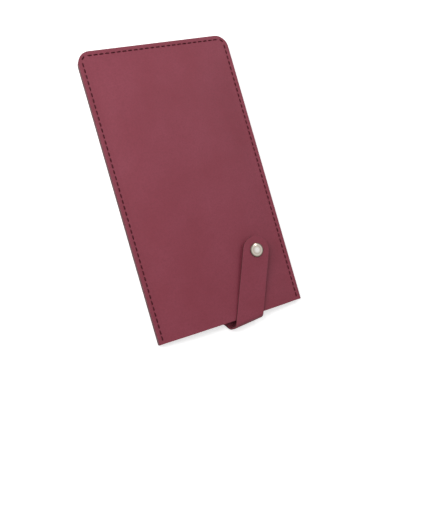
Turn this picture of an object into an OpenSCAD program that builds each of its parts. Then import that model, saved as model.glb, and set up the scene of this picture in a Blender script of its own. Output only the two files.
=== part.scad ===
// Leather guard for a rectangular kitchen cleaver: a flat sheath sewn on three sides,
// closed by a strap that wraps round the mouth and snaps shut on the front panel.
// It lies on its back panel. X runs to the spine side, Y from the mouth to the tip end.

/* [Sheath] */
// Width from the cutting edge side to the spine side
guard_w = 112; // [90:1:150]
// Length from the mouth to the closed tip end
guard_len = 203; // [160:1:260]
// Radius of the two corners at the tip end
corner_r = 9; // [7:0.5:14]
// Thickness of the leather in both panels and in the strap
leather_t = 1.5; // [1.3:0.1:2]
// Bevel along the outer edges
edge_bevel = 0.4; // [0.2:0.1:0.6]
// Rise of the front panel over its seams, which makes room for the blade
crown = 2.4; // [2:0.1:5]
// Length over which the front panel comes down to the tip seam
tip_run = 34; // [20:1:60]

/* [Welt] */
// Thickness of the strips between the panels
welt_t = 1.8; // [1.4:0.1:3]
// Width of the strips between the panels
welt_w = 6; // [5:0.5:9]

/* [Stitching] */
// Distance from the outer edge to the stitch line
stitch_inset = 3; // [2.5:0.1:3.5]
// Radius of the stitch line at the tip corners
stitch_corner_r = 4; // [3:0.5:6]
// Length of one stitch and its dip
stitch_pitch = 4.1; // [3:0.1:6]
// Length of the dip where the thread goes down to its hole
dip_len = 1.2; // [0.8:0.1:1.6]
// Thickness of the thread
thread_d = 0.7; // [0.5:0.05:0.8]
// Width of the groove that the thread lies in
groove_w = 1; // [0.9:0.05:1.4]
// Distance from the mouth to the first stitch
seam_end = 2; // [1:0.5:8]

/* [Strap] */
// Width of the strap
strap_w = 20; // [14:1:26]
// Lean of the closed strap towards the spine side, in degrees
strap_lean = 22; // [10:1:30]
// Lean of the fold from the line of the mouth, in degrees
fold_skew = 5; // [0:0.5:6]
// Place of the fold's middle, from the sheath's middle towards the spine side
fold_x = 10.8; // [0:0.1:20]
// Distance from the mouth to where the fold starts to turn
fold_out = 1.3; // [1.2:0.1:4]
// Radius of the fold's two turns, to the middle of the leather
turn_r = 2.5; // [2:0.1:3.5]
// Clearance between the front panel's mouth and the strap over it
mouth_clear = 0.25; // [0.2:0.05:1]
// Distance along the strap from the fold to the snap
snap_reach = 48.5; // [35:0.5:60]
// Radius of the hollow corner where the strap leaves the back panel
root_r = 5; // [2:0.5:6]

/* [Snap] */
// Diameter of the cap on the strap
cap_d = 10; // [9:0.5:13]
// Height of the cap over the strap
cap_h = 1.4; // [1.2:0.1:2]
// Gap between strap and front panel at the closed snap
snap_gap = 2.8; // [2.8:0.1:4]
// Diameter of the socket under the strap
socket_d = 9; // [8:0.5:11]
// Diameter of the stud's head
head_d = 4.2; // [3.6:0.1:5]
// Thickness of the sheet that the snap is pressed from
sheet_t = 0.3; // [0.2:0.05:0.35]
// Thickness of the spring wire
wire_d = 0.5; // [0.4:0.05:0.5]

/* [Hidden] */
$fn = 64;

leather_colour = "#8a4a5a";
flesh_colour = "#7a3340";
thread_colour = "#4f1224";
nickel_colour = "#d9d6d2";

// Sheath
half_w = guard_w / 2;
mouth_y = -guard_len / 2;
tip_y = guard_len / 2;
front_low = leather_t + welt_t;
seam_t = front_low + leather_t;
dome_half = half_w - welt_w;
dome_end = tip_y - welt_w;
dome_steps = 24;
run_steps = 10;
run_over = 1.15;
past = 1;

// Height of the front panel over its seams, across and along the sheath
function rise_across(x) = crown * max(0, 1 - pow(abs(x) / dome_half, 4));
function run_part(y) = max(0, (y - dome_end + tip_run) / tip_run);
function rise_along(y) = crown * run_over * max(0, 1 - pow(run_part(y), 2));
function front_top(x, y) = seam_t + min(rise_across(x), rise_along(y));

// Stitching
seam_start = mouth_y + seam_end;
side_x = half_w - stitch_inset;
top_y = tip_y - stitch_inset;
corner_x = side_x - stitch_corner_r;
corner_y = top_y - stitch_corner_r;
side_count = round((corner_y - seam_start) / stitch_pitch);
corner_count = max(1, round(PI * stitch_corner_r / 2 / stitch_pitch));
top_count = round(2 * corner_x / stitch_pitch);
groove_bed = 0.05;
groove_depth = thread_d + groove_bed;
thread_sink = groove_depth - thread_d / 2 - groove_bed / 2;
dip_share = 0.6;
dip_depth = thread_d * dip_share;
dip_r = (pow(dip_len / 2, 2) + pow(dip_depth, 2)) / (2 * dip_depth);

// Fold: two turns with an upright piece between them, on an axis along the fold
strap_angle = 90 - strap_lean - fold_skew;
turn_in = turn_r - leather_t / 2;
turn_out = turn_r + leather_t / 2;
low_turn_z = turn_out;
high_turn_z = seam_t + crown + mouth_clear - turn_in;
fold_y = mouth_y - fold_out;
strap_half = strap_w / 2;
half_across = strap_half / sin(strap_angle);
snap_along = snap_reach * cos(strap_angle);
snap_up = snap_reach * sin(strap_angle);
snap_x = fold_x + snap_along * cos(fold_skew) - snap_up * sin(fold_skew);
snap_y = fold_y + snap_along * sin(fold_skew) + snap_up * cos(fold_skew);
under_rise = front_top(snap_x, snap_y) + snap_gap - high_turn_z;
strap_tilt = atan2(snap_up, turn_in) - acos(under_rise / norm([snap_up, turn_in]));
low_half = 45;
high_half = (90 - strap_tilt) / 2;
upright = high_turn_z - low_turn_z;
turn_travel = 2 * turn_r * (sin(low_half) + sin(high_half)) + upright;
root_x = -turn_travel / tan(strap_angle);

// Root: a hollow corner on the edge side, then straight to the fold
edge_dir = fold_skew - strap_angle;
root_left = [fold_x, fold_y] + (root_x - half_across) * [cos(fold_skew), sin(fold_skew)];
root_right = [fold_x, fold_y] + (root_x + half_across) * [cos(fold_skew), sin(fold_skew)];
function strap_middle(z) = (z - high_turn_z - 2 * turn_r * sin(high_half)) / tan(strap_angle);
function at_mouth(p) = [p[0] + (mouth_y - p[1]) / tan(edge_dir), mouth_y];
root_corner = at_mouth(root_left);
half_open = (180 + edge_dir) / 2;
root_centre = root_corner + root_r / sin(half_open) * [-cos(half_open), -sin(half_open)];
root_steps = 8;
root_arc = [for (i = [0:root_steps]) let (a = 90 + edge_dir * i / root_steps)
    root_centre + root_r * [cos(a), sin(a)]];
root_inside = 3;

bend_gap = 0.1;
gap_angle = bend_gap / 2 / turn_r * 180 / PI;
cut = 60;

// Snap, measured from the strap's underside along the snap's axis
cap_r = cap_d / 2;
lip_t = 0.2;
lip_reach = 0.6;
lip_w = lip_reach + sheet_t / 2;
disc_headroom = 0.2;
cap_rim_h = lip_t + sheet_t + disc_headroom;
disc_play = 0.2;
dome_rise = cap_h - cap_rim_h;
cap_round = (pow(cap_r, 2) + pow(dome_rise, 2)) / (2 * dome_rise);
post_r = 1.6;
post_bore = 1.2;
post_clear = 0.05;
post_hole = post_r + 2 * post_clear;
splay_t = 0.25;
splay_r = 2.2;
socket_r = socket_d / 2;
stud_play = 0.4;
flange_t = 0.35;
seat_sink = 0.25;
seat_clear = 0.1;
hole_clear = 0.15;
spring_grip = 0.15;
mouth_play = 0.25;
head_chamfer = 0.25;
flange_top = flange_t - snap_gap - seat_sink;
socket_low = flange_top + stud_play;
ring_bed = 0.02;
neck_play = 0.03;
neck_step = 0.35;
head_play = 0.2;
head_r = head_d / 2;
mouth_r = head_r + mouth_play;
ring_in = head_r - spring_grip;
ring_r = ring_in + wire_d / 2;
ring_z = socket_low + sheet_t + ring_bed + wire_d / 2;
ring_opening = 40;
neck_r = head_r - neck_step;
neck_top = ring_z + wire_d / 2 + ring_bed + neck_play;
head_top = -sheet_t - splay_t - head_play;
stud_bore = 1.3;
stud_flange_r = 3.6;
eyelet_r = 1.2;
eyelet_bore = 0.85;
eyelet_flange_r = 3.4;
eyelet_flange_t = 0.25;
eyelet_splay_r = 1.45;
panel_low = -snap_gap - leather_t;
eyelet_sink = 0.22;
eyelet_seat = panel_low + eyelet_sink;
eyelet_play = 0.1;
eyelet_top = head_top - sheet_t - eyelet_play;

// Frames: the fold's axis, the strap lying over the front, and the snap's axis
module fold_frame() {
    translate([fold_x, fold_y, 0]) rotate([0, 0, fold_skew]) children();
}

module strap_frame() {
    fold_frame() translate([0, 0, high_turn_z]) rotate([strap_tilt, 0, 0]) children();
}

module snap_frame() {
    strap_frame() translate([snap_along, snap_up, turn_in]) children();
}

// A flat shape with two rounded corners at the tip end, drawn from the mouth to y1
module tip_rounded(half, y1, r) {
    translate([-half, mouth_y]) square([2 * half, y1 - r - mouth_y]);
    translate([r - half, y1 - r - past]) square([2 * (half - r), r + past]);
    translate([r - half, y1 - r]) circle(r);
    translate([half - r, y1 - r]) circle(r);
}

module outline(z, t) {
    translate([0, 0, z]) linear_extrude(t) tip_rounded(half_w, tip_y, corner_r);
}

// Cuts the bevel along the upper outer edge of a panel whose face is at height z
module bevel_profile() {
    polygon([[-edge_bevel, 0], [0, -edge_bevel], [past, -edge_bevel], [past, past], [-edge_bevel, past]]);
}

module edge_bevels(z) {
    side_len = guard_len - corner_r + past;
    for (side = [0, 1]) mirror([side, 0, 0]) {
        translate([half_w, tip_y - corner_r, z]) rotate([90, 0, 0]) linear_extrude(side_len) bevel_profile();
        translate([half_w - corner_r, tip_y - corner_r, z])
            rotate_extrude(angle = 90) translate([corner_r, 0]) bevel_profile();
    }
    translate([corner_r - half_w, tip_y, z]) rotate([90, 0, 90])
        linear_extrude(2 * (half_w - corner_r)) bevel_profile();
    translate([half_w + past, mouth_y, z]) rotate([90, 0, -90])
        linear_extrude(guard_w + 2 * past) bevel_profile();
}

// The groove for the thread, cut down from height z or up from it
module stitch_groove(z, t) {
    translate([0, 0, z]) linear_extrude(t) intersection() {
        difference() {
            tip_rounded(side_x + groove_w / 2, top_y + groove_w / 2, stitch_corner_r + groove_w / 2);
            translate([0, -past]) tip_rounded(side_x - groove_w / 2, top_y - groove_w / 2 + past,
                                              stitch_corner_r - groove_w / 2);
        }
        translate([-half_w, seam_start - groove_w / 2]) square([guard_w, guard_len]);
    }
}

// The space under a curve across the sheath and along it, from height z down to low
module vault(z, low) {
    across = [for (i = [0:dome_steps]) let (x = dome_half * (2 * i / dome_steps - 1)) [x, z + rise_across(x)]];
    along = [for (i = [0:run_steps]) let (y = dome_end - tip_run * (1 - i / run_steps)) [y, z + rise_along(y)]];
    intersection() {
        translate([0, tip_y + past, 0]) rotate([90, 0, 0]) linear_extrude(guard_len + 2 * past)
            polygon(concat([[-dome_half, low]], across, [[dome_half, low]]));
        translate([-half_w, 0, 0]) rotate([90, 0, 90]) linear_extrude(guard_w)
            polygon(concat([[mouth_y - past, low], [mouth_y - past, along[0][1]]], along, [[dome_end, low]]));
    }
}

module front_panel() {
    color(leather_colour) difference() {
        union() {
            outline(front_low, leather_t);
            intersection() {
                vault(seam_t, front_low);
                translate([-half_w, mouth_y, 0]) cube([guard_w, guard_len, cut]);
            }
        }
        vault(front_low, front_low - past);
        edge_bevels(seam_t);
        stitch_groove(seam_t - groove_depth, groove_depth + past);
        snap_frame() {
            translate([0, 0, panel_low - past]) cylinder(h = leather_t + 3 * past, r = eyelet_r + hole_clear);
            translate([0, 0, -snap_gap - seat_sink]) cylinder(h = past, r = stud_flange_r + seat_clear);
            translate([0, 0, eyelet_seat - past]) cylinder(h = past, r = eyelet_flange_r + seat_clear);
        }
    }
}

// A turn of the strap seen along the fold, from angle a0 to a1
module turn_sector(a0, a1) {
    intersection() {
        difference() {
            circle(turn_out);
            circle(turn_in);
        }
        polygon([[0, 0], 2 * turn_out * [cos(a0), sin(a0)], 2 * turn_out * [cos(a1), sin(a1)]]);
    }
}

module along_fold() {
    translate([-cut, 0, 0]) rotate([90, 0, 90]) linear_extrude(2 * cut) children();
}

// The strap's root: a hollow corner on the edge side, then straight to the fold

module strap_root() {
    linear_extrude(leather_t)
        polygon(concat([[root_arc[0][0], mouth_y + root_inside]], root_arc, [root_left, root_right],
                       [at_mouth(root_right), at_mouth(root_right) + [0, root_inside]]));
    fold_frame() intersection() {
        translate([0, 0, low_turn_z]) along_fold() turn_sector(270 - low_half + gap_angle, 270);
        translate([root_x, 0, 0]) rotate([0, 0, -strap_angle])
            translate([-cut, -strap_half, -past]) cube([2 * cut, strap_w, cut]);
    }
}

module back_panel() {
    color(leather_colour) union() {
        difference() {
            outline(0, leather_t);
            mirror([0, 0, 1]) edge_bevels(0);
            stitch_groove(-past, groove_depth + past);
        }
        strap_root();
    }
}

// Welts: strips of leather between the panels, butted at the tip corners
module edge_welt() {
    color(flesh_colour) intersection() {
        outline(leather_t, welt_t);
        translate([-half_w, mouth_y, 0]) cube([welt_w, guard_len, cut]);
    }
}

module tip_welt() {
    color(flesh_colour) intersection() {
        outline(leather_t, welt_t);
        translate([-dome_half, dome_end, 0]) cube([2 * dome_half, welt_w, cut]);
    }
}

module spine_welt() {
    color(flesh_colour) intersection() {
        outline(leather_t, welt_t);
        translate([dome_half, mouth_y, 0]) cube([welt_w, guard_len, cut]);
    }
}

// One thread in its groove, with a dip at each hole
module dip() {
    translate([0, 0, thread_d / 2 - dip_depth + dip_r]) rotate([90, 0, 0])
        cylinder(h = 2 * thread_d, r = dip_r, center = true);
}

module thread() {
    side_step = (corner_y - seam_start) / side_count;
    top_step = 2 * corner_x / top_count;
    difference() {
        union() {
            for (side = [-1, 1]) translate([side * side_x, seam_start, 0])
                rotate([-90, 0, 0]) cylinder(h = corner_y - seam_start, d = thread_d);
            translate([-corner_x, top_y, 0]) rotate([0, 90, 0]) cylinder(h = 2 * corner_x, d = thread_d);
            for (side = [0, 1]) mirror([side, 0, 0]) translate([corner_x, corner_y, 0])
                rotate_extrude(angle = 90) translate([stitch_corner_r, 0]) circle(d = thread_d);
        }
        for (side = [-1, 1], i = [0:side_count])
            translate([side * side_x, seam_start + i * side_step, 0]) rotate([0, 0, 90]) dip();
        for (i = [0:top_count]) translate([-corner_x + i * top_step, top_y, 0]) dip();
        for (side = [0, 1], i = [1:1:corner_count - 1]) mirror([side, 0, 0])
            translate([corner_x, corner_y, 0]) rotate([0, 0, 90 * i / corner_count])
                translate([stitch_corner_r, 0, 0]) rotate([0, 0, 90]) dip();
    }
}

module needle_thread() {
    color(thread_colour) translate([0, 0, seam_t - thread_sink]) thread();
}

module bobbin_thread() {
    color(thread_colour) translate([0, 0, thread_sink]) mirror([0, 0, 1]) thread();
}

// The upright piece of the fold with half a turn at each end, cut to the strap's slant
module strap_bend() {
    color(leather_colour) fold_frame() intersection() {
        along_fold() {
            translate([0, low_turn_z]) turn_sector(180, 270 - low_half - gap_angle);
            translate([-turn_out, low_turn_z]) square([leather_t, upright]);
            translate([0, high_turn_z]) turn_sector(180 - high_half + gap_angle, 180);
        }
        translate([0, cut / 2, 0]) rotate([90, 0, 0]) linear_extrude(cut) polygon([
            [strap_middle(-cut) - half_across, -cut],
            [strap_middle(-cut) + half_across, -cut],
            [strap_middle(cut) + half_across, cut],
            [strap_middle(cut) - half_across, cut]
        ]);
    }
}

// The strap over the front panel: half a turn, the straight flap and its round tip
module strap_flap() {
    flap_plate = snap_reach + strap_w;
    color(leather_colour) strap_frame() difference() {
        intersection() {
            along_fold() {
                turn_sector(90, 180 - high_half - strap_tilt - gap_angle);
                translate([0, turn_in]) square([flap_plate, leather_t]);
            }
            rotate([0, 0, strap_angle]) linear_extrude(cut) {
                translate([-cut, -strap_half]) square([cut + snap_reach, strap_w]);
                translate([snap_reach, 0]) circle(strap_half);
            }
        }
        translate([snap_along, snap_up, 0]) cylinder(h = cut, r = post_hole);
    }
}

// Snap: a domed cap whose rim is rolled under the disc of its post
module snap_cap() {
    color(nickel_colour) snap_frame() translate([0, 0, leather_t]) rotate_extrude() {
        difference() {
            intersection() {
                translate([0, cap_h - cap_round]) circle(cap_round);
                square([cap_r, cap_h]);
            }
            intersection() {
                translate([0, cap_h - cap_round]) circle(cap_round - sheet_t);
                square([cap_r - sheet_t, cap_h]);
            }
        }
    translate([cap_r - sheet_t - lip_reach, 0]) square([lip_w, lip_t]);
    }
}

module snap_cap_post() {
    disc_r = cap_r - sheet_t - disc_play;
    disc_low = leather_t + lip_t;
    splay_top = -sheet_t;
    color(nickel_colour) snap_frame() rotate_extrude() polygon([
        [post_bore, disc_low + sheet_t],
        [disc_r, disc_low + sheet_t],
        [disc_r, disc_low],
        [post_r, disc_low],
        [post_r, splay_top],
        [splay_r, splay_top],
        [splay_r, splay_top - splay_t],
        [post_bore, splay_top - splay_t]
    ]);
}

// The socket: a pressed ring with a groove that holds the spring round the stud's neck
module snap_socket() {
    channel_r = ring_r + wire_d / 2 + seat_clear;
    color(nickel_colour) snap_frame() rotate_extrude() polygon([
        [post_r + post_clear, 0],
        [socket_r, 0],
        [socket_r, socket_low + sheet_t],
        [socket_r - sheet_t, socket_low],
        [mouth_r, socket_low],
        [mouth_r, socket_low + sheet_t],
        [channel_r, socket_low + sheet_t],
        [channel_r, -sheet_t],
        [post_r + post_clear, -sheet_t]
    ]);
}

module snap_spring() {
    color(nickel_colour) snap_frame() translate([0, 0, ring_z]) rotate([0, 0, ring_opening / 2])
        rotate_extrude(angle = 360 - ring_opening) translate([ring_r, 0]) circle(d = wire_d);
}

// The stud: a flange on the front panel, a neck and a rounded head, hollow for its post
module snap_stud() {
    chamber_r = eyelet_splay_r + post_clear;
    chamber_low = eyelet_top - splay_t;
    color(nickel_colour) snap_frame() rotate_extrude() polygon([
        [stud_bore, flange_top - flange_t],
        [stud_flange_r, flange_top - flange_t],
        [stud_flange_r, flange_top],
        [neck_r, flange_top],
        [neck_r, neck_top],
        [head_r, neck_top + head_chamfer],
        [head_r, head_top - head_chamfer],
        [head_r - head_chamfer, head_top],
        [0, head_top],
        [0, eyelet_top + post_clear],
        [chamber_r, eyelet_top + post_clear],
        [chamber_r, chamber_low],
        [stud_bore, chamber_low]
    ]);
}

module stud_post() {
    color(nickel_colour) snap_frame() rotate_extrude() polygon([
        [eyelet_bore, eyelet_seat - eyelet_flange_t],
        [eyelet_flange_r, eyelet_seat - eyelet_flange_t],
        [eyelet_flange_r, eyelet_seat],
        [eyelet_r, eyelet_seat],
        [eyelet_r, eyelet_top - splay_t],
        [eyelet_splay_r, eyelet_top - splay_t],
        [eyelet_splay_r, eyelet_top],
        [eyelet_bore, eyelet_top]
    ]);
}

front_panel();
back_panel();
edge_welt();
tip_welt();
spine_welt();
needle_thread();
bobbin_thread();
strap_bend();
strap_flap();
snap_cap();
snap_cap_post();
snap_socket();
snap_spring();
snap_stud();
stud_post();
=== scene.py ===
"""Models and dresses a leather blade guard round its CAD frame: the sheath, its strap and its snap."""

import math

import bpy
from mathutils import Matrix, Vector


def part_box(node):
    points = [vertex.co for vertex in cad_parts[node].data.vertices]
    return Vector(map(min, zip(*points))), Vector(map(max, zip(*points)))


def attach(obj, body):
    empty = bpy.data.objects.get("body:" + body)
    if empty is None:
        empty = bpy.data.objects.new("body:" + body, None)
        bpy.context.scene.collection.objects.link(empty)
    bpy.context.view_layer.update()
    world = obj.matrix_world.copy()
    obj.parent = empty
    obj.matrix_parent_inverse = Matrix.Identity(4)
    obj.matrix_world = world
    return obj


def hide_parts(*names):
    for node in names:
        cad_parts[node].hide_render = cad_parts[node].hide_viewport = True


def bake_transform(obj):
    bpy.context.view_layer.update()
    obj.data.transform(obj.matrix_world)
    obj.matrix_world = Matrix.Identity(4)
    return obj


bl_info = {
    "name": "Knife blade guard",
    "version": (1, 0, 0),
    "blender": (4, 5, 0),
    "location": "View3D > Sidebar > Guard",
    "description": "Models and dresses a leather blade guard: leather, waxed thread and a nickel snap",
    "category": "Object",
}

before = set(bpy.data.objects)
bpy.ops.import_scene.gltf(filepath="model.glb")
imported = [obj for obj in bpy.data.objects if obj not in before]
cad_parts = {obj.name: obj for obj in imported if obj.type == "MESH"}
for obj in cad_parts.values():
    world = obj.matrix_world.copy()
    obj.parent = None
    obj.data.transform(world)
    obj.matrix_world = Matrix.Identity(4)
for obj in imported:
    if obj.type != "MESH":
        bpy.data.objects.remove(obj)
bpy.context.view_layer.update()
MM = 0.001

LEATHER_NODES = ("front_panel", "back_panel", "strap_bend", "strap_flap")
WELT_NODES = ("edge_welt", "tip_welt", "spine_welt")
THREAD_NODES = ("needle_thread", "bobbin_thread")
METAL_NODES = ("snap_cap", "snap_cap_post", "snap_socket", "snap_spring", "snap_stud", "stud_post")


def side(node, corner, axis):
    """A side of a node's box in millimetres, to the hundredth: corner 0 is the low one and 1 the high one."""
    return round(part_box(node)[corner][axis] / MM, 2)


# The sheath in millimetres, in the frame's own axes
HALF_WIDTH = side("front_panel", 1, 0)
MOUTH = side("front_panel", 0, 1)
TIP = side("front_panel", 1, 1)
LEATHER = side("edge_welt", 0, 2)
SEAM_TOP = side("edge_welt", 1, 2) + LEATHER
CROWN = round(side("front_panel", 1, 2) - SEAM_TOP, 2)
WELT = HALF_WIDTH - side("spine_welt", 0, 0)
CORNER = 9.0
EDGE_ROUND = 0.35

# How the crown comes down: a higher power keeps it flat for longer, and ease softens its foot.
# The run is the length over which it comes down to the tip seam.
CROWN_POWER = 4
CROWN_EASE = 1.3
TIP_RUN = 34.0
TIP_RUN_POWER = 2

# The seam, and the groove that its thread draws into the leather. The hole pull is the share of
# the groove's depth that comes and goes along it, and the corner pull the share round a corner.
STITCH_INSET = 3.0
STITCH_CORNER = 4.0
SEAM_START = side("needle_thread", 0, 1)
GROOVE_DEPTH = 0.28
GROOVE_REACH = 0.8
HOLE_PULL = 0.3
CORNER_PULL = 0.75

# One stitch: how far it sinks, how far its ends dip, and how blunt they are
STITCH_SINK = 0.02
STITCH_DIP = 0.3
STITCH_BLUNT = 0.75

# The strap's fold: two turns with an upright piece between them, on an axis skewed from the mouth.
# The strap is never narrower than twice its least half, so that its round tip ends in no point.
FOLD_X = 10.8
FOLD_OUT = 1.3
FOLD_Y = MOUTH - FOLD_OUT
FOLD_SKEW = math.radians(5)
STRAP_LEAN = math.radians(22)
STRAP_ANGLE = math.pi / 2 - STRAP_LEAN - FOLD_SKEW
STRAP_TILT = math.radians(2.99)
STRAP_HALF = 10.0
LEAST_HALF = 0.01
SNAP_REACH = 48.5
TURN = 2.5
MOUTH_CLEAR = 0.25
LOW_TURN_Z = TURN + LEATHER / 2
HIGH_TURN_Z = SEAM_TOP + CROWN + MOUTH_CLEAR - (TURN - LEATHER / 2)
HALF_ACROSS = STRAP_HALF / math.sin(STRAP_ANGLE)

# Lengths along the middle of the strap's leather, from where it leaves the back panel
UPRIGHT = HIGH_TURN_Z - LOW_TURN_Z
LOW_ARC = TURN * math.pi / 2
HALF_FOLD = LOW_ARC + UPRIGHT / 2
FOLD_LENGTH = LOW_ARC + UPRIGHT + TURN * (math.pi / 2 - STRAP_TILT)
STRAP_TIP = FOLD_LENGTH + SNAP_REACH * math.sin(STRAP_ANGLE) + STRAP_HALF

# How far the strap gets over the fold if each turn is taken as its two straight chords
LOW_HALF = math.pi / 4
HIGH_HALF = (math.pi / 2 - STRAP_TILT) / 2
TURN_TRAVEL = 2 * TURN * (math.sin(LOW_HALF) + math.sin(HIGH_HALF)) + UPRIGHT

# The snap's cap: its dome takes a share of its radius and of its rows, and a rolled rim the rest
CAP_RADIUS = 5.0
CAP_HEIGHT = 1.4
CAP_RIM = 0.7
DOME_SHARE = 0.955
DOME_ROWS = 0.7

# Rows and columns of the modelled skins, with the share of the panel's rows on its straight sides,
# how far its columns crowd towards the seams, and how all skins are welded and smoothed
PANEL_COLUMNS = 110
PANEL_ROWS = 270
STRAIGHT_ROWS = 0.94
EDGE_CROWDING = 0.35
CAP_COLUMNS = 48
CAP_ROWS = 24
BEND_ROWS = 24
UPRIGHT_ROWS = 30
FLAP_ROWS = 36
STRAP_TIP_ROWS = 40
WELD = 0.001 * MM
SMOOTH_ANGLE = math.radians(40)
BEVEL_ANGLE = math.radians(50)

# The stage: places and sizes in metres, lamps in watts, angles in degrees
CAMERA_PLACE = Vector((-139.8, -59.1, 361.5)) * MM
CAMERA_TURN = (5.951, -20.134, -17.180)
FOCAL_PIXELS = 545
PHOTO_HEIGHT = 530
SENSOR = 36.0
NEAREST_SEEN = 10 * MM
WINDOW ={"place": (0.35, 0.3, 0.65), "size": 0.25, "power": 1.0}
SKYLIGHT = {"place": (-0.4, 0.3, 0.45), "size": 0.5, "power": 3.4}
WORLD_LIGHT = 0.34
WHITE = (1, 1, 1, 1)
FLOOR_COLOUR = (0.92, 0.92, 0.92, 1)
FLOOR_SIZE = 4
FLOOR_DROP = 0.02 * MM
FLOOR_GLOW = 0.55


class GuardLooks(bpy.types.PropertyGroup):
    """Colours of the guard's leather, thread and snap"""

    leather: bpy.props.FloatVectorProperty(
        name="Leather", description="Colour of the dyed grain side", subtype="COLOR", size=3,
        default=(0.225, 0.035, 0.056), min=0, max=1)
    leather_worn: bpy.props.FloatVectorProperty(
        name="Worn leather", description="Colour where the dye is rubbed thin", subtype="COLOR", size=3,
        default=(0.27, 0.053, 0.084), min=0, max=1)
    cut_edge: bpy.props.FloatVectorProperty(
        name="Cut edge", description="Colour of the burnished cut edges", subtype="COLOR", size=3,
        default=(0.10, 0.022, 0.028), min=0, max=1)
    thread: bpy.props.FloatVectorProperty(
        name="Thread", description="Colour of the waxed thread", subtype="COLOR", size=3,
        default=(0.045, 0.002, 0.007), min=0, max=1)
    nickel: bpy.props.FloatVectorProperty(
        name="Nickel", description="Colour of the snap's plating", subtype="COLOR", size=3,
        default=(0.80, 0.77, 0.73), min=0, max=1)


class GuardSizes(bpy.types.PropertyGroup):
    """Sizes of the finish and of the stitches, as on the real object"""

    grain: bpy.props.FloatProperty(
        name="Grain", description="Size of one grain cell of the leather", subtype="DISTANCE",
        unit="LENGTH", default=0.7 * MM, min=0.1 * MM, max=3 * MM)
    grain_relief: bpy.props.FloatProperty(
        name="Grain relief", description="Height of the leather's grain", subtype="DISTANCE",
        unit="LENGTH", default=0.05 * MM, min=0, max=0.3 * MM)
    cloud: bpy.props.FloatProperty(
        name="Clouding", description="Size of the cloudy patches in the dye", subtype="DISTANCE",
        unit="LENGTH", default=30 * MM, min=5 * MM, max=100 * MM)
    ply: bpy.props.FloatProperty(
        name="Thread ply", description="Thickness of one of the thread's twisted plies", subtype="DISTANCE",
        unit="LENGTH", default=0.35 * MM, min=0.1 * MM, max=1 * MM)
    pitch: bpy.props.FloatProperty(
        name="Stitch pitch", description="Distance from one stitch hole to the next", subtype="DISTANCE",
        unit="LENGTH", default=4.1 * MM, min=2 * MM, max=8 * MM)
    stitch: bpy.props.FloatProperty(
        name="Stitch length", description="Length of the thread that shows in one stitch",
        subtype="DISTANCE", unit="LENGTH", default=3.2 * MM, min=1 * MM, max=6 * MM)
    thread: bpy.props.FloatProperty(
        name="Thread width", description="Width of the waxed thread", subtype="DISTANCE",
        unit="LENGTH", default=0.9 * MM, min=0.4 * MM, max=1.5 * MM)


def looks():
    return bpy.context.scene.guard_looks


def sizes():
    return bpy.context.scene.guard_sizes


def rgba(colour, shade=1.0):
    """A shader colour from red, green and blue, made darker or paler by shade."""
    return (*(shade * channel for channel in colour), 1)


def new_material(name):
    material = bpy.data.materials.new(name)
    material.use_nodes = True
    tree = material.node_tree
    return material, tree, tree.nodes["Principled BSDF"]


def new_group(name, inputs, outputs):
    """A shader node group of plain numbers: inputs by name and default, outputs by name."""
    group = bpy.data.node_groups.new(name, "ShaderNodeTree")
    for label, default in inputs.items():
        socket = group.interface.new_socket(label, in_out="INPUT", socket_type="NodeSocketFloat")
        socket.default_value = default
    for label in outputs:
        group.interface.new_socket(label, in_out="OUTPUT", socket_type="NodeSocketFloat")
    start = group.nodes.new("NodeGroupInput")
    end = group.nodes.new("NodeGroupOutput")
    return group, start.outputs, end


def feed(tree, node, values):
    """Give each socket of a node a plain value, or link it to another node's output."""
    for socket, value in values.items():
        if isinstance(value, bpy.types.NodeSocket):
            tree.links.new(value, node.inputs[socket])
        else:
            node.inputs[socket].default_value = value


def math_node(tree, operation, *values, clamp=False):
    node = tree.nodes.new("ShaderNodeMath")
    node.operation = operation
    node.use_clamp = clamp
    feed(tree, node, dict(enumerate(values)))
    return node.outputs[0]


def excess(tree, high, low, gain):
    """How far high is above low, times gain, from 0 to 1."""
    return math_node(tree, "MULTIPLY", math_node(tree, "SUBTRACT", high, low), gain, clamp=True)


def mix_node(tree, factor, a, b, blend="MIX"):
    node = tree.nodes.new("ShaderNodeMix")
    node.data_type = "RGBA"
    node.blend_type = blend
    feed(tree, node, {"Factor": factor, "A": a, "B": b})
    return node.outputs["Result"]


def noise_node(tree, place, scale, detail, roughness=0.5):
    """A noise texture with this many clouds to a metre. Its outputs are Fac and Color."""
    node = tree.nodes.new("ShaderNodeTexNoise")
    feed(tree, node, {"Vector": place, "Scale": scale, "Detail": detail, "Roughness": roughness})
    return node.outputs


def object_place(tree):
    return tree.nodes.new("ShaderNodeTexCoord").outputs["Object"]


def bump_normal(tree, height, relief):
    """The surface's normal with a relief of this height in metres."""
    node = tree.nodes.new("ShaderNodeBump")
    feed(tree, node, {"Height": height, "Distance": relief})
    return node.outputs["Normal"]


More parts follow.
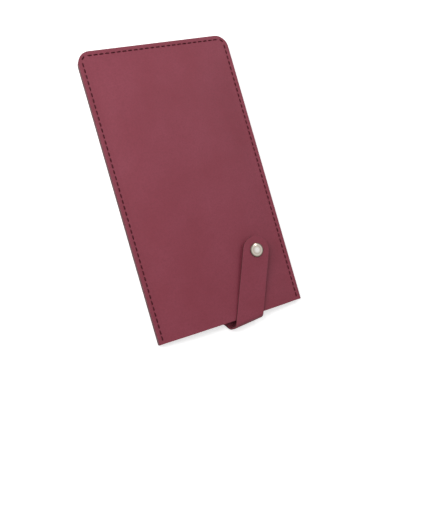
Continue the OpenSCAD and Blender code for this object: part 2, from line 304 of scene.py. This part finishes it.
def grain_group():
    """Leather grain: the height of its cells and pores, the clouds in its dye and the pores' speckle."""
    warp_size = 2 * MM
    warp = 0.8 * MM
    pores_to_cells = 0.6
    ridge_gain = 2.5
    ridge_share = 0.6
    cloud_floor = 0.35
    cloud_gain = 3.0
    group, given, end = new_group("Leather grain", {"Cell size": 0.7 * MM, "Cloud size": 30 * MM},
                                  ("Height", "Cloud", "Speckle"))
    place = object_place(group)
    wander = noise_node(group, place, 1 / warp_size, detail=3)["Color"]
    warped = group.nodes.new("ShaderNodeVectorMath")
    warped.operation = "MULTIPLY_ADD"
    feed(group, warped, {0: wander, 1: (warp,) * 3, 2: place})
    cells = group.nodes.new("ShaderNodeTexVoronoi")
    cells.feature = "DISTANCE_TO_EDGE"
    cell_scale = math_node(group, "DIVIDE", 1.0, given["Cell size"])
    feed(group, cells, {"Vector": warped.outputs[0], "Scale": cell_scale})
    ridge = math_node(group, "MULTIPLY", cells.outputs["Distance"], ridge_gain, clamp=True)
    pore_scale = math_node(group, "DIVIDE", pores_to_cells, given["Cell size"])
    pores = noise_node(group, place, pore_scale, detail=6, roughness=0.65)["Fac"]
    height = math_node(group, "ADD", math_node(group, "MULTIPLY", ridge, ridge_share),
                       math_node(group, "MULTIPLY", pores, 1 - ridge_share))
    cloud_scale = math_node(group, "DIVIDE", 1.0, given["Cloud size"])
    clouds = noise_node(group, place, cloud_scale, detail=5, roughness=0.6)["Fac"]
    feed(group, end, {"Height": height, "Cloud": excess(group, clouds, cloud_floor, cloud_gain),
                      "Speckle": pores})


def leather_material(name, base, worn, edge):
    """Dyed leather: clouded colour, darker pores, cut edges on the faces that look sideways."""
    cloud_strength = 0.55
    pore_shade = 0.72
    pore_limit = 0.6
    pore_gain = 1.6
    edge_limit = 0.55
    edge_gain = 4.0
    smoothest = 0.42
    speckle_roughness = 0.25
    material, tree, shader = new_material(name)
    grain = tree.nodes.new("ShaderNodeGroup")
    grain.node_tree = bpy.data.node_groups["Leather grain"]
    feed(tree, grain, {"Cell size": sizes().grain, "Cloud size": sizes().cloud})
    speckle = grain.outputs["Speckle"]
    cloud = math_node(tree, "MULTIPLY", grain.outputs["Cloud"], cloud_strength)
    clouded = mix_node(tree, cloud, rgba(base), rgba(worn))
    pored = mix_node(tree, excess(tree, pore_limit, speckle, pore_gain), clouded, rgba(base, pore_shade))
    facing = tree.nodes.new("ShaderNodeSeparateXYZ")
    feed(tree, facing, {0: tree.nodes.new("ShaderNodeNewGeometry").outputs["Normal"]})
    upright = math_node(tree, "ABSOLUTE", facing.outputs["Z"])
    colour = mix_node(tree, excess(tree, edge_limit, upright, edge_gain), pored, rgba(edge))
    rough = math_node(tree, "ADD", smoothest, math_node(tree, "MULTIPLY", speckle, speckle_roughness))
    feed(tree, shader, {
        "Base Color": colour, "Roughness": rough, "Specular IOR Level": 0.3,
        "Sheen Weight": 0.03, "Sheen Roughness": 0.5,
        "Normal": bump_normal(tree, grain.outputs["Height"], sizes().grain_relief)})
    return material


def thread_material():
    """Waxed thread: twisted plies with a soft shine, and a painted highlight that makes each ply's crest
    lighter.
    """
    # A diagonal wave repeats every 0.363 / scale, so the plies' ridges lie 2.3 thicknesses apart
    plies_to_scale = 0.16
    crest_highlight_gain = 1.7
    relief = 0.06 * MM
    material, tree, shader = new_material("waxed_thread")
    plies = tree.nodes.new("ShaderNodeTexWave")
    plies.bands_direction = "DIAGONAL"
    feed(tree, plies, {"Vector": object_place(tree), "Scale": plies_to_scale / sizes().ply,
                       "Distortion": 1.0})
    ridge = plies.outputs["Fac"]
    colour = looks().thread
    feed(tree, shader, {
        # Painted highlight: the wave's crests, the tops of the plies, are painted lighter than the thread's
        # own colour
        "Base Color": mix_node(tree, ridge, rgba(colour), rgba(colour, crest_highlight_gain)), "Roughness": 0.5,
        "Specular IOR Level": 0.15, "Normal": bump_normal(tree, ridge, relief)})
    return material


def nickel_material(name):
    """Bright nickel plating, faintly rubbed."""
    rub_size = 1.2 * MM
    dull_shade = 0.85
    smoothest = 0.1
    rub_roughness = 0.14
    material, tree, shader = new_material(name)
    rub = noise_node(tree, object_place(tree), 1 / rub_size, detail=5)["Fac"]
    colour = looks().nickel
    rough = math_node(tree, "ADD", smoothest, math_node(tree, "MULTIPLY", rub, rub_roughness))
    feed(tree, shader, {"Base Color": mix_node(tree, rub, rgba(colour, dull_shade), rgba(colour)),
                        "Roughness": rough, "Metallic": 1.0})
    return material


def cap_painted_reflections(middle):
    """Nickel on the cap with painted reflections: a painted highlight on top, a painted brown reflection ring
    and a painted dark shade line under the rim.
    """
    # Painted reflection and shade: by distance from the cap's middle, these stops paint a white highlight on
    # top, a brown reflection ring and a dark shade under the rim
    first, *between, last = (
        (0.35, WHITE), (0.6, (0.62, 0.56, 0.50, 1)), (0.78, (0.80, 0.76, 0.70, 1)),
        (0.9, (0.35, 0.30, 0.26, 1)), (1.0, (0.08, 0.06, 0.05, 1)))
    material = nickel_material("nickel_cap_painted_reflections")
    tree = material.node_tree
    shader = tree.nodes["Principled BSDF"]
    away = tree.nodes.new("ShaderNodeVectorMath")
    away.operation = "DISTANCE"
    feed(tree, away, {0: object_place(tree), 1: middle})
    painted_reflection_ramp = tree.nodes.new("ShaderNodeValToRGB")
    feed(tree, painted_reflection_ramp, {"Fac": math_node(tree, "DIVIDE", away.outputs["Value"], CAP_RADIUS * MM)})
    stops = painted_reflection_ramp.color_ramp.elements
    for stop, (position, colour) in zip(stops, (first, last)):
        stop.position = position
        stop.color = colour
    for position, colour in between:
        stops.new(position).color = colour
    plate = shader.inputs["Base Color"].links[0].from_socket
    feed(tree, shader, {"Base Color": mix_node(tree, 1.0, plate, painted_reflection_ramp.outputs["Color"], "MULTIPLY")})


def dress(names, material):
    for name in names:
        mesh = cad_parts[name].data
        mesh.materials.clear()
        mesh.materials.append(material)


class GUARD_OT_leather(bpy.types.Operator):
    """Dress the panels, the strap and the welts in leather"""

    bl_idname = "guard.leather"
    bl_label = "Leather"

    def execute(self, context):
        grain_group()
        look = looks()
        panel = leather_material("burgundy_leather", look.leather, look.leather_worn, look.cut_edge)
        welt = leather_material("cut_leather", look.cut_edge, look.leather, look.cut_edge)
        dress(LEATHER_NODES, panel)
        dress(WELT_NODES, welt)
        return {"FINISHED"}


class GUARD_OT_thread(bpy.types.Operator):
    """Dress the two stitch lines in waxed thread"""

    bl_idname = "guard.thread"
    bl_label = "Thread"

    def execute(self, context):
        dress(THREAD_NODES, thread_material())
        return {"FINISHED"}


class GUARD_OT_snap(bpy.types.Operator):
    """Dress the snap in bright nickel"""

    bl_idname = "guard.snap"
    bl_label = "Snap"

    def execute(self, context):
        dress(METAL_NODES, nickel_material("nickel_plate"))
        return {"FINISHED"}


def select_only(*pieces):
    """Select these pieces and nothing else, with the first as the active one."""
    bpy.ops.object.select_all(action="DESELECT")
    for piece in pieces:
        piece.select_set(True)
    if pieces:
        bpy.context.view_layer.objects.active = pieces[0]


def grid_piece(name, columns, rows, place):
    """A grid whose points go where place(u, v) says, with u across and v along, both 0 to 1."""
    select_only()
    bpy.ops.mesh.primitive_grid_add(x_subdivisions=columns, y_subdivisions=rows, size=2)
    piece = bpy.context.object
    piece.name = name
    for vertex in piece.data.vertices:
        vertex.co = Vector(place((vertex.co.x + 1) / 2, (vertex.co.y + 1) / 2)) * MM
    return piece


def close_skin(piece):
    """Weld a rolled-up grid along its seam, fill its open ends and turn its faces outwards."""
    select_only(piece)
    bpy.ops.object.mode_set(mode="EDIT")
    bpy.ops.mesh.select_all(action="SELECT")
    bpy.ops.mesh.remove_doubles(threshold=WELD)
    bpy.ops.mesh.select_all(action="DESELECT")
    bpy.ops.mesh.select_non_manifold()
    bpy.ops.mesh.fill_holes(sides=0)
    bpy.ops.mesh.select_all(action="SELECT")
    bpy.ops.mesh.normals_make_consistent(inside=False)
    bpy.ops.object.mode_set(mode="OBJECT")


def apply_modifier(piece, kind, **settings):
    modifier = piece.modifiers.new(kind.lower(), kind)
    for name, value in settings.items():
        setattr(modifier, name, value)
    select_only(piece)
    bpy.ops.object.modifier_apply(modifier=modifier.name)


def finish_piece(piece, body, material, slot, *nodes):
    """Dress and smooth a piece that stands for CAD nodes."""
    piece.data.materials.clear()
    piece.data.materials.append(bpy.data.materials[material])
    select_only(piece)
    bpy.ops.object.shade_smooth_by_angle(angle=SMOOTH_ANGLE)
    if body:
        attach(piece, body)
    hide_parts(*nodes)


def stitch_line_distance(x, y):
    """Distance outwards from the stitch line, and the distance along it where it runs straight."""
    over_side = abs(x) - (HALF_WIDTH - STITCH_INSET - STITCH_CORNER)
    over_tip = y - (TIP - STITCH_INSET - STITCH_CORNER)
    if over_side > 0 and over_tip > 0:
        return math.hypot(over_side, over_tip) - STITCH_CORNER, None
    if over_side > over_tip:
        return over_side - STITCH_CORNER, y - SEAM_START
    return over_tip - STITCH_CORNER, x


def seam_groove(x, y, pitch):
    """How far the leather is drawn down along the seam: a groove that dips once for each pitch."""
    away, along = stitch_line_distance(x, y)
    if along is None:
        pull = CORNER_PULL
    else:
        pull = 1 - HOLE_PULL + HOLE_PULL * math.cos(2 * math.pi * along / pitch)
    return GROOVE_DEPTH * pull * math.exp(-(away / GROOVE_REACH) ** 2)


def front_height(x, y):
    """Top of the front panel: a soft crown that comes down to the seams."""
    across = max(0.0, 1 - (abs(x) / (HALF_WIDTH - WELT)) ** CROWN_POWER) ** CROWN_EASE
    run = max(0.0, (y - (TIP - WELT - TIP_RUN)) / TIP_RUN)
    along = max(0.0, 1 - run ** TIP_RUN_POWER) ** CROWN_EASE
    return SEAM_TOP + CROWN * across * along


def outline_point(u, v):
    """A place on the sheath's plan. Columns crowd towards the seams, and the last rows round the tip."""
    part = 2 * u - 1
    part *= 1 + EDGE_CROWDING - EDGE_CROWDING * part * part
    if v <= STRAIGHT_ROWS:
        return part * HALF_WIDTH, MOUTH + (TIP - CORNER - MOUTH) * v / STRAIGHT_ROWS
    turn = (v - STRAIGHT_ROWS) / (1 - STRAIGHT_ROWS) * math.pi / 2
    half = HALF_WIDTH - CORNER + CORNER * math.cos(turn)
    return part * half, TIP - CORNER + CORNER * math.sin(turn)


class GUARD_OT_front_panel(bpy.types.Operator):
    """Model the front panel: a soft crown, a drawn-in seam and rounded edges"""

    bl_idname = "guard.front_panel"
    bl_label = "Front panel"

    def execute(self, context):
        pitch = sizes().pitch / MM
        welt_gap = 0.04

        def place(u, v):
            x, y = outline_point(u, v)
            return x, y, front_height(x, y) - seam_groove(x, y, pitch)

        panel = grid_piece("front_leather", PANEL_COLUMNS, PANEL_ROWS, place)
        apply_modifier(panel, "SOLIDIFY", thickness=(LEATHER - welt_gap) * MM, offset=-1.0)
        apply_modifier(panel, "BEVEL", width=EDGE_ROUND * MM, segments=3, limit_method="ANGLE",
                       angle_limit=BEVEL_ANGLE)
        finish_piece(panel, "pouch", "burgundy_leather", "panel_leather", "front_panel")
        return {"FINISHED"}


def stitch_places(pitch):
    """Middle and heading of each stitch, up both sides, across the tip end and round its corners."""
    side_x = HALF_WIDTH - STITCH_INSET
    tip_y = TIP - STITCH_INSET
    corner_x = side_x - STITCH_CORNER
    corner_y = tip_y - STITCH_CORNER
    side_count = round((corner_y - SEAM_START) / pitch)
    side_step = (corner_y - SEAM_START) / side_count
    tip_count = round(2 * corner_x / pitch)
    tip_step = 2 * corner_x / tip_count
    reach = STITCH_CORNER * math.sqrt(0.5)
    sides = [(way * side_x, SEAM_START + (i + 0.5) * side_step, math.pi / 2)
             for way in (-1, 1) for i in range(side_count)]
    tip = [(-corner_x + (i + 0.5) * tip_step, tip_y, 0.0) for i in range(tip_count)]
    corners = [(way * (corner_x + reach), corner_y + reach, -way * math.pi / 4) for way in (-1, 1)]
    return sides + tip + corners


def one_stitch():
    """A stitch along X, blunt at its ends, which go down into the holes."""
    select_only()
    bpy.ops.mesh.primitive_uv_sphere_add(segments=10, ring_count=8, radius=1)
    stitch = bpy.context.object
    length, width = sizes().stitch / MM, sizes().thread / MM
    for vertex in stitch.data.vertices:
        along = vertex.co.z
        blunt = math.copysign(abs(along) ** STITCH_BLUNT, along)
        vertex.co = Vector((blunt * length / 2, vertex.co.x * width / 2,
                            vertex.co.y * width / 2 - STITCH_DIP * along ** 4)) * MM
    return stitch


class GUARD_OT_stitching(bpy.types.Operator):
    """Model the stitches that show on the front: one stitch, copied along the seam"""

    bl_idname = "guard.stitching"
    bl_label = "Stitching"

    def execute(self, context):
        model = one_stitch()
        copies = []
        for x, y, heading in stitch_places(sizes().pitch / MM):
            stitch = model.copy()
            stitch.data = model.data.copy()
            context.scene.collection.objects.link(stitch)
            stitch.location = Vector((x, y, front_height(x, y) - STITCH_SINK)) * MM
            stitch.rotation_euler.z = heading
            copies.append(stitch)
        bpy.data.objects.remove(model)
        select_only(*copies)
        bpy.ops.object.join()
        line = bpy.context.object
        line.name = "front_stitches"
        bpy.ops.object.transform_apply(location=True, rotation=True, scale=True)
        finish_piece(line, "pouch", "waxed_thread", "thread", "needle_thread")
        return {"FINISHED"}


def fold_place(along, across, height, middle=(FOLD_X, FOLD_Y)):
    """A place given from the fold's middle: along its axis, across it towards the tip, and in height."""
    x, y = middle
    return Vector((x + along * math.cos(FOLD_SKEW) - across * math.sin(FOLD_SKEW),
                   y + along * math.sin(FOLD_SKEW) + across * math.cos(FOLD_SKEW), height))


def strap_station(q):
    """Middle of the strap at q along its leather: place across the fold, height and outward angle."""
    if q <= LOW_ARC:
        angle = 1.5 * math.pi - q / TURN
        return TURN * math.cos(angle), LOW_TURN_Z + TURN * math.sin(angle), angle
    if q <= LOW_ARC + UPRIGHT:
        return -TURN, LOW_TURN_Z + q - LOW_ARC, math.pi
    if q <= FOLD_LENGTH:
        angle = math.pi - (q - LOW_ARC - UPRIGHT) / TURN
        return TURN * math.cos(angle), HIGH_TURN_Z + TURN * math.sin(angle), angle
    out = math.pi / 2 + STRAP_TILT
    free = q - FOLD_LENGTH
    return (TURN * math.cos(out) + free * math.cos(STRAP_TILT),
            HIGH_TURN_Z + TURN * math.sin(out) + free * math.sin(STRAP_TILT), out)


def strap_limits(q):
    """Left and right edge of the strap along the fold's axis at q, with the round tip."""
    travel = q - FOLD_LENGTH
    if travel < 0:
        middle = TURN_TRAVEL * (q / FOLD_LENGTH - 1) / math.tan(STRAP_ANGLE)
        return middle - HALF_ACROSS, middle + HALF_ACROSS
    middle = travel / math.tan(STRAP_ANGLE)
    snap_along = SNAP_REACH * math.cos(STRAP_ANGLE)
    snap_travel = SNAP_REACH * math.sin(STRAP_ANGLE)
    tip_half = math.sqrt(max(0.0, STRAP_HALF ** 2 - (travel - snap_travel) ** 2))
    edges = []
    for way in (-1, 1):
        edge = middle + way * HALF_ACROSS
        reach = edge * math.cos(STRAP_ANGLE) + travel * math.sin(STRAP_ANGLE)
        edges.append(edge if reach <= SNAP_REACH else snap_along + way * tip_half)
    return edges


def section_point(u):
    """A point round the strap's section: -1 to 1 across, and -1 to 1 through its thickness."""
    lap = (u % 1) * 4
    if lap < 1:
        return -1 + 2 * lap, -1
    if lap < 2:
        return 1, -1 + 2 * (lap - 1)
    if lap < 3:
        return 1 - 2 * (lap - 2), 1
    return -1, 1 - 2 * (lap - 3)


def strap_point(u, q):
    """A point of the strap's skin: the section is a rounded bar, swept along the fold and the flap."""
    left, right = strap_limits(q)
    half = max((right - left) / 2, LEAST_HALF)
    thick = LEATHER / 2
    x, n = section_point(u)
    x *= half
    n *= thick
    over = abs(x) - (half - EDGE_ROUND)
    deep = abs(n) - (thick - EDGE_ROUND)
    if over > 0 and deep > 0 and half > EDGE_ROUND:
        scale = EDGE_ROUND / max(math.hypot(over, deep), EDGE_ROUND)
        x = math.copysign(half - EDGE_ROUND + over * scale, x)
        n = math.copysign(thick - EDGE_ROUND + deep * scale, n)
    across, height, out = strap_station(q)
    return fold_place((left + right) / 2 + x, across + n * math.cos(out), height + n * math.sin(out))


def section_steps():
    """Places round the section from 0 to 1: few across the faces and more at the rounded corners."""
    corner = (0.004, 0.008, 0.012, 0.016, 0.02, 0.035)
    across = [0, *corner, *(i / 16 for i in range(1, 16)), *(1 - step for step in reversed(corner))]
    through = [i / 10 for i in range(10)]
    faces = (across, through, across, through)
    return [(start + step) / 4 for start, steps in enumerate(faces) for step in steps] + [1.0]


def even_rows(start, end, count):
    return [start + (end - start) * i / count for i in range(count + 1)]


def strap_piece(name, stations, node):
    """A closed length of strap through the stations, with flat ends, that stands for a CAD node."""
    steps = section_steps()
    columns, rows = len(steps) - 1, len(stations) - 1
    piece = grid_piece(name, columns, rows,
                       lambda u, v: strap_point(steps[round(u * columns)], stations[round(v * rows)]))
    close_skin(piece)
    finish_piece(piece, None, "burgundy_leather", "panel_leather", node)
    return piece


class GUARD_OT_strap(bpy.types.Operator):
    """Model the strap: its bend round the mouth and its flap"""

    bl_idname = "guard.strap"
    bl_label = "Strap"

    def execute(self, context):
        bend_rows = even_rows(LOW_ARC / 2, HALF_FOLD, BEND_ROWS)
        bend = strap_piece("strap_bend_leather", bend_rows, "strap_bend")
        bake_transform(bend)
        tip_rows = [STRAP_TIP - STRAP_HALF - STRAP_HALF * math.cos(math.pi * i / STRAP_TIP_ROWS)
                    for i in range(1, STRAP_TIP_ROWS + 1)]
        flap_rows = [*even_rows(HALF_FOLD, FOLD_LENGTH, UPRIGHT_ROWS),
                     *even_rows(FOLD_LENGTH, STRAP_TIP - 2 * STRAP_HALF, FLAP_ROWS)[1:], *tip_rows]
        flap = strap_piece("strap_flap_leather", flap_rows, "strap_flap")
        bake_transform(flap)
        return {"FINISHED"}


def dome_point(u, v):
    """A point of the snap cap's skin, from its top down over the rim and in under it."""
    turn = 2 * math.pi * u
    dome_radius = CAP_RADIUS * DOME_SHARE
    rise = CAP_HEIGHT - CAP_RIM
    ball = (CAP_RADIUS ** 2 + rise ** 2) / (2 * rise)
    if v <= DOME_ROWS:
        radius = dome_radius * v / DOME_ROWS
        height = CAP_HEIGHT - ball + math.sqrt(ball ** 2 - radius ** 2)
    else:
        roll = math.pi * (v - DOME_ROWS) / (1 - DOME_ROWS)
        radius = dome_radius + (CAP_RADIUS - dome_radius) * math.sin(roll)
        dome_foot = CAP_HEIGHT - ball + math.sqrt(ball ** 2 - dome_radius ** 2)
        height = dome_foot * (1 + math.cos(roll)) / 2
    return radius * math.cos(turn), radius * math.sin(turn), height


class GUARD_OT_snap_cap(bpy.types.Operator):
    """Model the snap's domed cap with its rolled rim"""

    bl_idname = "guard.snap_cap"
    bl_label = "Snap cap"

    def execute(self, context):
        cap = grid_piece("snap_cap_dome", CAP_COLUMNS, CAP_ROWS, dome_point)
        across, height, out = strap_station(FOLD_LENGTH + SNAP_REACH * math.sin(STRAP_ANGLE))
        up = fold_place(0, math.cos(out), math.sin(out), middle=(0, 0))
        seat = (fold_place(SNAP_REACH * math.cos(STRAP_ANGLE), across, height) + up * LEATHER / 2) * MM
        turn = up.to_track_quat("Z", "Y")
        for vertex in cap.data.vertices:
            vertex.co = turn @ vertex.co + seat
        close_skin(cap)
        # Paints the cap's highlight, reflection ring and rim shade into its colour
        cap_painted_reflections(seat)
        finish_piece(cap, "flap", "nickel_cap_painted_reflections", "snap_metal", "snap_cap")
        return {"FINISHED"}


def add_camera(scene):
    data = bpy.data.cameras.new("camera")
    data.sensor_width = SENSOR
    data.lens = SENSOR * FOCAL_PIXELS / PHOTO_HEIGHT
    data.clip_start = NEAREST_SEEN
    camera = bpy.data.objects.new("camera", data)
    scene.collection.objects.link(camera)
    camera.location = CAMERA_PLACE
    camera.rotation_euler = [math.radians(angle) for angle in CAMERA_TURN]
    scene.camera = camera


def add_lamp(scene, name, place, size, power):
    """A square lamp that looks at the middle of the sheath."""
    data = bpy.data.lights.new(name, "AREA")
    data.size = size
    data.energy = power
    lamp = bpy.data.objects.new(name, data)
    scene.collection.objects.link(lamp)
    lamp.location = place
    lamp.rotation_euler = (-Vector(place)).to_track_quat("-Z", "Y").to_euler()


def light_world(scene):
    """A soft light from all round, which the camera, metal and glass see as plain white."""
    world = scene.world or bpy.data.worlds.new("world")
    scene.world = world
    world.use_nodes = True
    tree = world.node_tree
    soft = tree.nodes["Background"]
    feed(tree, soft, {"Color": WHITE, "Strength": WORLD_LIGHT})
    white = tree.nodes.new("ShaderNodeBackground")
    feed(tree, white, {"Color": WHITE, "Strength": 1.0})
    path = tree.nodes.new("ShaderNodeLightPath").outputs
    seen = math_node(tree, "MAXIMUM", path["Is Camera Ray"], path["Is Glossy Ray"])
    seen = math_node(tree, "MAXIMUM", seen, path["Is Transmission Ray"])
    mix = tree.nodes.new("ShaderNodeMixShader")
    feed(tree, mix, {0: seen, 1: soft.outputs[0], 2: white.outputs[0]})
    feed(tree, tree.nodes["World Output"], {"Surface": mix.outputs[0]})


def add_floor():
    """A pale floor that glows for the camera, so that it looks white but keeps the guard's shadow."""
    select_only()
    bpy.ops.mesh.primitive_plane_add(size=FLOOR_SIZE, location=(0, 0, -FLOOR_DROP))
    floor = bpy.context.object
    floor.name = "floor"
    bpy.ops.object.transform_apply(location=True, rotation=True, scale=True)
    material, tree, shader = new_material("pale_floor")
    feed(tree, shader, {"Base Color": FLOOR_COLOUR, "Roughness": 0.9})
    seen = tree.nodes.new("ShaderNodeLightPath").outputs["Is Camera Ray"]
    glow = tree.nodes.new("ShaderNodeEmission")
    feed(tree, glow, {"Strength": math_node(tree, "MULTIPLY", seen, FLOOR_GLOW)})
    both = tree.nodes.new("ShaderNodeAddShader")
    feed(tree, both, {0: shader.outputs[0], 1: glow.outputs[0]})
    feed(tree, tree.nodes["Material Output"], {"Surface": both.outputs[0]})
    floor.data.materials.append(material)


class GUARD_OT_stage(bpy.types.Operator):
    """Add the floor, the soft light, the white background and the camera"""

    bl_idname = "guard.stage"
    bl_label = "Stage"

    def execute(self, context):
        scene = context.scene
        scene.view_settings.view_transform = "Standard"
        add_camera(scene)
        light_world(scene)
        add_lamp(scene, "window", **WINDOW)
        add_lamp(scene, "skylight", **SKYLIGHT)
        add_floor()
        return {"FINISHED"}


class GUARD_PT_panel(bpy.types.Panel):
    """The guard's sizes, colours and pieces"""

    bl_idname = "GUARD_PT_panel"
    bl_label = "Blade guard"
    bl_space_type = "VIEW_3D"
    bl_region_type = "UI"
    bl_category = "Guard"

    def draw(self, context):
        for group in (context.scene.guard_sizes, context.scene.guard_looks):
            for name in group.__annotations__:
                self.layout.prop(group, name)
        for operator in OPERATORS:
            self.layout.operator(operator.bl_idname)


OPERATORS = (GUARD_OT_stage, GUARD_OT_leather, GUARD_OT_thread, GUARD_OT_snap, GUARD_OT_front_panel,
             GUARD_OT_stitching, GUARD_OT_strap, GUARD_OT_snap_cap)
CLASSES = (GuardLooks, GuardSizes, *OPERATORS, GUARD_PT_panel)


def register():
    for cls in CLASSES:
        bpy.utils.register_class(cls)
    bpy.types.Scene.guard_looks = bpy.props.PointerProperty(type=GuardLooks)
    bpy.types.Scene.guard_sizes = bpy.props.PointerProperty(type=GuardSizes)


def unregister():
    del bpy.types.Scene.guard_looks
    del bpy.types.Scene.guard_sizes
    for cls in reversed(CLASSES):
        bpy.utils.unregister_class(cls)


def main():
    register()
    bpy.ops.guard.stage()
    bpy.ops.guard.leather()
    bpy.ops.guard.thread()
    bpy.ops.guard.snap()
    bpy.ops.guard.front_panel()
    bpy.ops.guard.stitching()
    bpy.ops.guard.strap()
    bpy.ops.guard.snap_cap()


if __name__ == "__main__":
    main()
